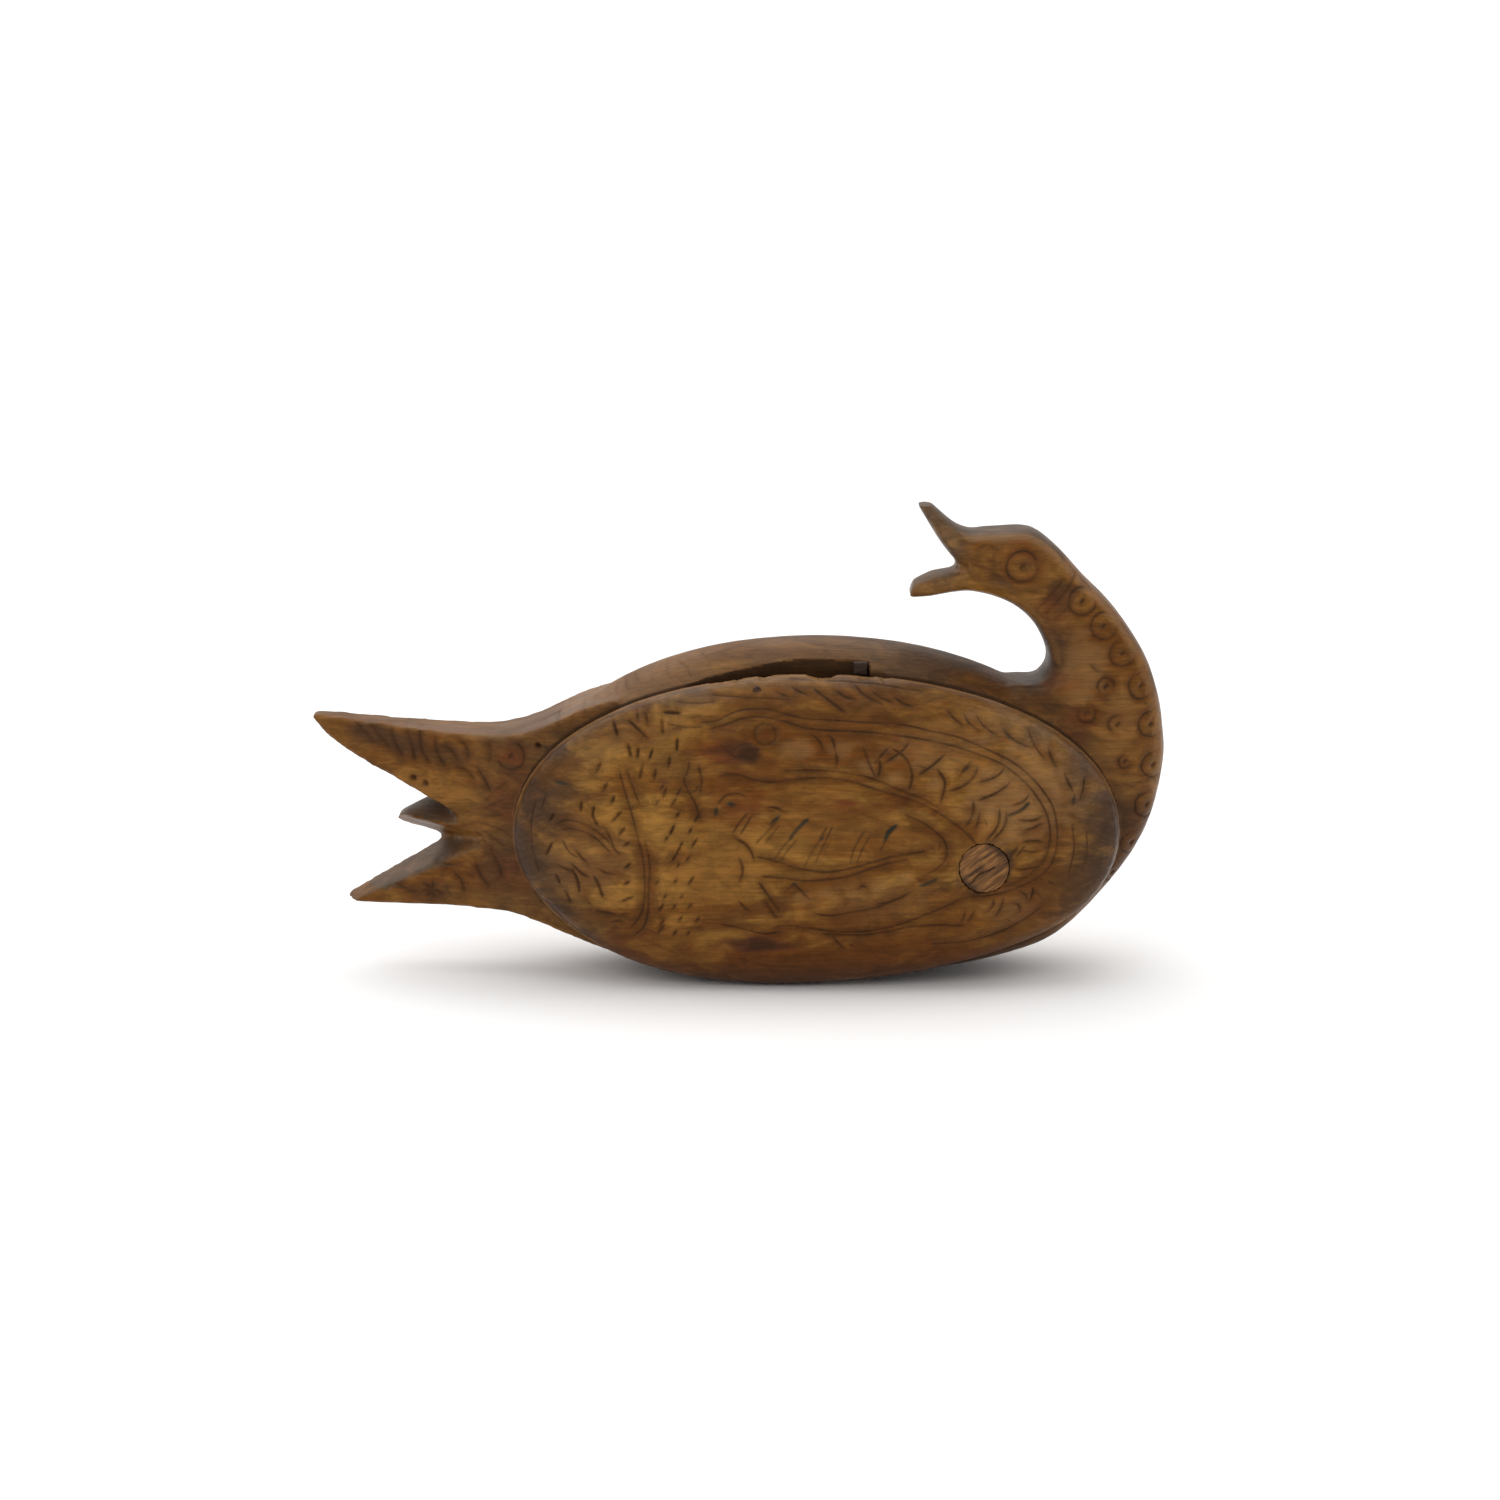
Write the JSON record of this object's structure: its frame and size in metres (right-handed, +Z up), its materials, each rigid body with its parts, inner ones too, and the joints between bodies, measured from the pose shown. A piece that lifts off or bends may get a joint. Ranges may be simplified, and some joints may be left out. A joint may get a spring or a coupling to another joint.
{
  "type": "money box",
  "caption": "Carved wooden bird-shaped money box with an oval domed side lid that swings on a wooden peg over a hollow body, and a coin slot along its back.",
  "frame": {"origin": "centre of the footprint of the whole object's box, on the surface it stands on", "axes": "+X from the tail to the breast, +Y away from the lid side, +Z up"},
  "size_m": [0.1983, 0.052, 0.1106],
  "materials": {
    "body_wood": "hand-polished fruitwood, waxed and darkened in the hollows",
    "lid_wood": "hand-polished fruitwood with fine grain and worn edges",
    "peg_wood": "coarse open side grain, dark with dirt round its edge",
    "dark_wood": "nearly black with age",
    "pin_wood": "brown end grain"
  },
  "bodies": {
    "bird_body": {"body": "body_wood", "pivot_peg": "peg_wood", "slot_block": "dark_wood"},
    "side_lid": {"lid": "lid_wood", "rim_pin": "pin_wood"}
  },
  "joints": [
    {"name": "lid_swing", "type": "hinge", "parent": "bird_body", "child": "side_lid", "pos_m": [0.056, -0.0134, 0.03], "axis": [0, 1, 0], "continuous": true}
  ]
}
